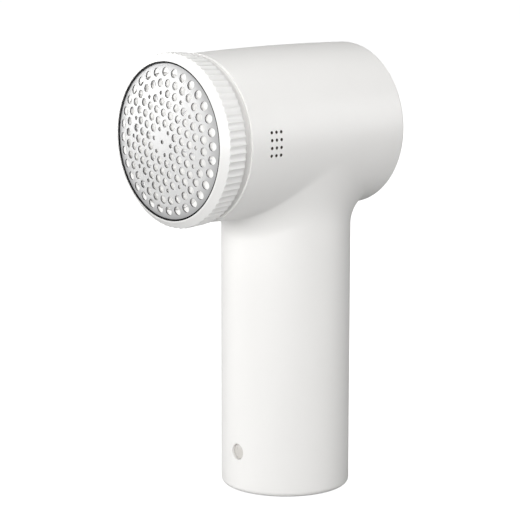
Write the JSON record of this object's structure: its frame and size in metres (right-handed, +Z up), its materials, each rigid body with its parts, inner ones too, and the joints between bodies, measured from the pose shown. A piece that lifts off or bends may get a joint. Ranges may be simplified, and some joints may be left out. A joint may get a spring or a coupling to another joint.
{
  "type": "fabric shaver",
  "caption": "Cordless fabric shaver: round upright handle, short barrel with a domed perforated foil held by a ribbed ring, and a pull-out lint bin at the back.",
  "frame": {"origin": "centre of the foot pad's underside, on the handle's axis", "axes": "+Z up along the handle; the barrel runs along Y with the foil facing -Y and the lint bin at +Y"},
  "size_m": [0.0546, 0.0793, 0.1449],
  "materials": {
    "shell_plastic": "satin white moulding",
    "ring_plastic": "glossy white moulding",
    "foil_steel": "fine satin steel sheet",
    "blade_steel": "ground steel",
    "bright_steel": "plated steel",
    "inner_plastic": "matt white moulding",
    "grey_rubber": "soft grey rubber",
    "bin_plastic": "frosted grey moulding",
    "dark_plastic": "matt dark moulding",
    "board_green": "solder mask over glass laminate",
    "cell_wrap": "shrink film",
    "copper": "enamelled copper",
    "bronze": "sintered bronze",
    "magnet": "sintered ferrite",
    "lens": "diffusing lens",
    "wire_skin": "insulated wire"
  },
  "bodies": {
    "housing": {"body_shell": "shell_plastic", "base_cap": "shell_plastic", "base_pad": "grey_rubber", "base_screws": "bright_steel", "battery_holder": "inner_plastic", "battery_cell": "cell_wrap", "battery_tabs": "bright_steel", "main_board": "board_green", "board_screws": "bright_steel", "board_chips": "dark_plastic", "charge_socket": "bright_steel", "socket_core": "dark_plastic", "charge_led": "lens", "light_pipe": "lens", "switch_body": "dark_plastic", "lint_duct": "inner_plastic", "vent_screen": "dark_plastic", "motor_can": "bright_steel", "motor_end_cap": "dark_plastic", "motor_bushes": "bronze", "motor_magnets": "magnet", "motor_terminals": "bronze", "motor_brushes": "bronze", "motor_screws": "bright_steel", "motor_cover": "inner_plastic", "motor_wires": "wire_skin"},
    "rotor": {"motor_shaft": "blade_steel", "armature_core": "magnet", "windings": "copper", "commutator": "copper", "drive_hub": "dark_plastic"},
    "cutter": {"blade_carrier": "inner_plastic", "cutter_blades": "blade_steel", "blade_spring": "bright_steel"},
    "foil_head": {"foil": "foil_steel", "foil_frame": "inner_plastic", "head_seal": "grey_rubber"},
    "ring": {"locking_ring": "ring_plastic"},
    "bin": {"lint_bin": "bin_plastic", "bin_cover": "shell_plastic", "bin_seal": "grey_rubber"},
    "button": {"power_button": "ring_plastic", "switch_plunger": "bright_steel"}
  },
  "joints": [
    {"name": "rotor_spin", "type": "hinge", "parent": "housing", "child": "rotor", "pos_m": [0, -0.02, 0.1176], "axis": [0, -1, 0], "continuous": true},
    {"name": "cutter_float", "type": "slide", "parent": "rotor", "child": "cutter", "axis": [0, 1, 0], "range_m": [0, 0.0006], "stiffness_N_per_m": 400, "springref_m": -0.002, "deforming": ["blade_spring"]},
    {"name": "head_unscrew", "type": "slide", "parent": "housing", "child": "foil_head", "axis": [0, -1, 0], "range_m": [0, 0.009]},
    {"name": "ring_turn", "type": "hinge", "parent": "foil_head", "child": "ring", "pos_m": [0, -0.045, 0.1176], "axis": [0, -1, 0], "range_deg": [0, 360]},
    {"name": "bin_slide", "type": "slide", "parent": "housing", "child": "bin", "axis": [0, 1, 0], "range_m": [0, 0.04]},
    {"name": "button_press", "type": "slide", "parent": "housing", "child": "button", "axis": [0, -1, 0], "range_m": [0, 0.0008], "stiffness_N_per_m": 1200, "springref_m": -0.0006}
  ],
  "couplings": [
    {"joint": "head_unscrew", "follows": "ring_turn", "m_per_rad": 0.00143}
  ]
}
